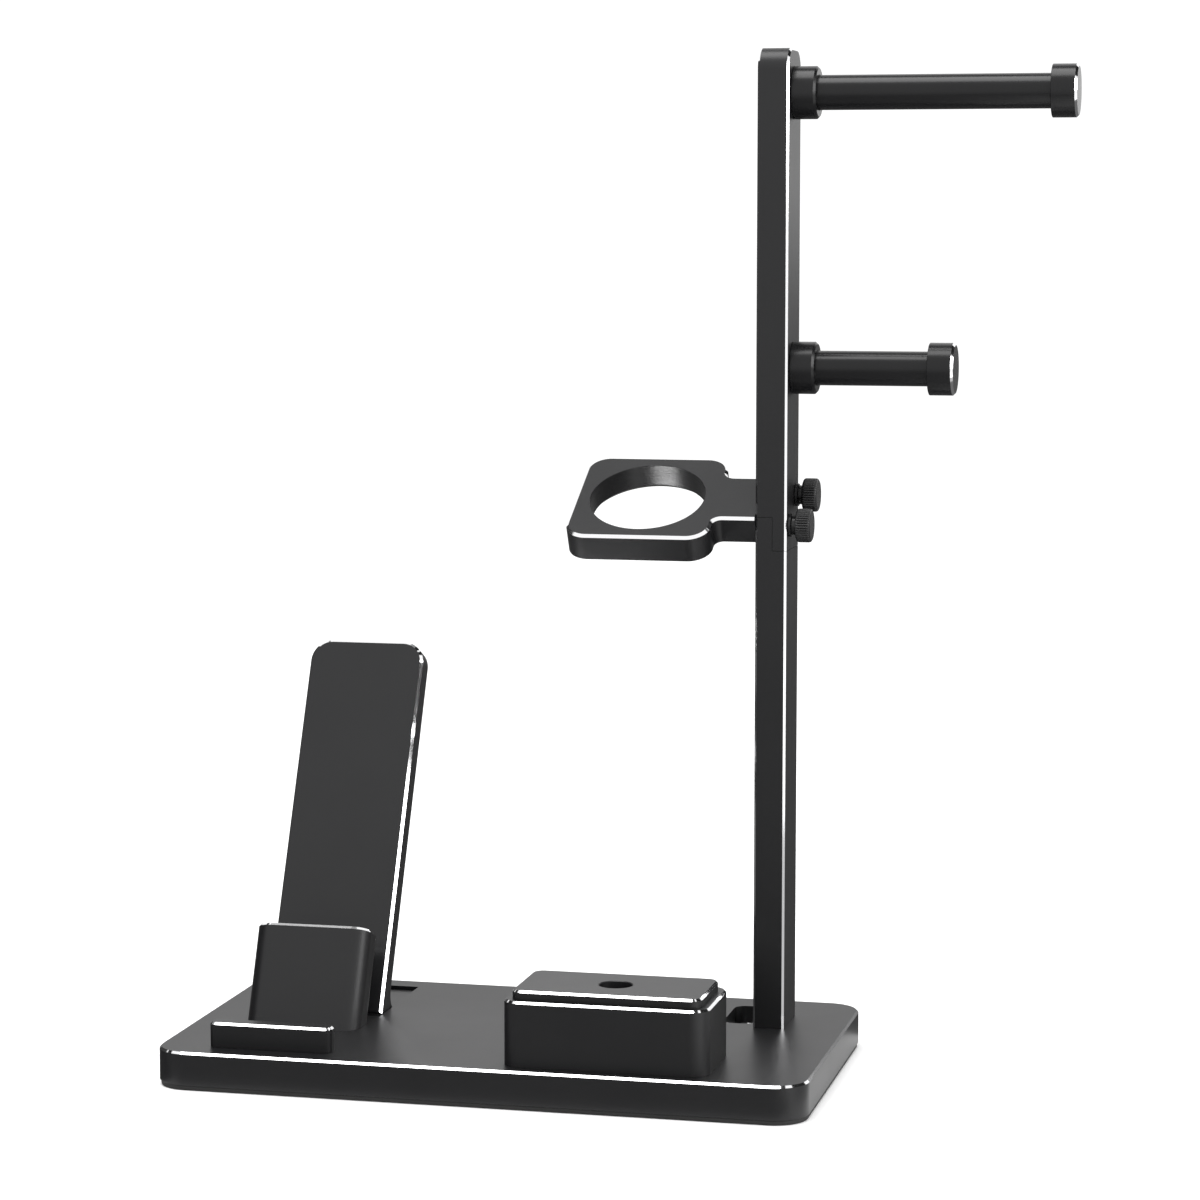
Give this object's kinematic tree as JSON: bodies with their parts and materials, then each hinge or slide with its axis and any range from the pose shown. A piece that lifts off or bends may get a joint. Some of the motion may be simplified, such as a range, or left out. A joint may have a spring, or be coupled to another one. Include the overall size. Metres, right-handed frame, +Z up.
{
  "type": "headphone stand",
  "caption": "Black metal desk stand with two headphone pegs on a flat post, a ring for a watch charger, a leaning phone dock and an earbud dock on a heavy base plate.",
  "frame": {"origin": "middle of the base's underside, on the table", "axes": "+X along the base towards the pegs, +Y to the back, +Z up"},
  "size_m": [0.2271, 0.1021, 0.2656],
  "materials": {
    "black_anodised": "bead-blasted black anodised, with polished chamfers along the outer edges",
    "rubber_pad": "matt",
    "fixing_steel": "black oxide",
    "thumbscrew": "black oxide, knurled",
    "washer": "black oxide"
  },
  "bodies": {
    "stand": {"base_plate": "black_anodised", "lower_post": "black_anodised", "upper_post": "black_anodised", "watch_arm": "black_anodised", "upper_peg_rod": "black_anodised", "upper_peg_collar": "black_anodised", "upper_peg_cap": "black_anodised", "lower_peg_rod": "black_anodised", "lower_peg_collar": "black_anodised", "lower_peg_cap": "black_anodised", "phone_backrest": "black_anodised", "connector_block": "black_anodised", "front_stop_bar": "black_anodised", "earbud_dock_block": "black_anodised", "earbud_dock_slab": "black_anodised", "base_pad": "rubber_pad", "post_screw_left": "fixing_steel", "post_screw_right": "fixing_steel", "backrest_screw_left": "fixing_steel", "backrest_screw_right": "fixing_steel", "connector_screw_left": "fixing_steel", "connector_screw_right": "fixing_steel", "stop_screw_left": "fixing_steel", "stop_screw_right": "fixing_steel", "dock_screw_left": "fixing_steel", "dock_screw_right": "fixing_steel"},
    "upper_washer": {"upper_washer": "washer"},
    "upper_thumbscrew": {"upper_thumbscrew": "thumbscrew"},
    "lower_washer": {"lower_washer": "washer"},
    "lower_thumbscrew": {"lower_thumbscrew": "thumbscrew"}
  },
  "joints": [
    {"name": "upper_thumbscrew_travel", "type": "slide", "parent": "stand", "child": "upper_washer", "axis": [1, 0, 0], "range_m": [0, 0.008]},
    {"name": "upper_thumbscrew_turn", "type": "hinge", "parent": "upper_washer", "child": "upper_thumbscrew", "pos_m": [0.0691, 0.0269, 0.15], "axis": [1, 0, 0], "range_deg": [0, 5760]},
    {"name": "lower_thumbscrew_travel", "type": "slide", "parent": "stand", "child": "lower_washer", "axis": [1, 0, 0], "range_m": [0, 0.008]},
    {"name": "lower_thumbscrew_turn", "type": "hinge", "parent": "lower_washer", "child": "lower_thumbscrew", "pos_m": [0.0691, 0.0171, 0.1428], "axis": [1, 0, 0], "range_deg": [0, 5760]}
  ],
  "couplings": [
    {"joint": "upper_thumbscrew_turn", "follows": "upper_thumbscrew_travel", "rad_per_m": 12566},
    {"joint": "lower_thumbscrew_turn", "follows": "lower_thumbscrew_travel", "rad_per_m": 12566}
  ]
}
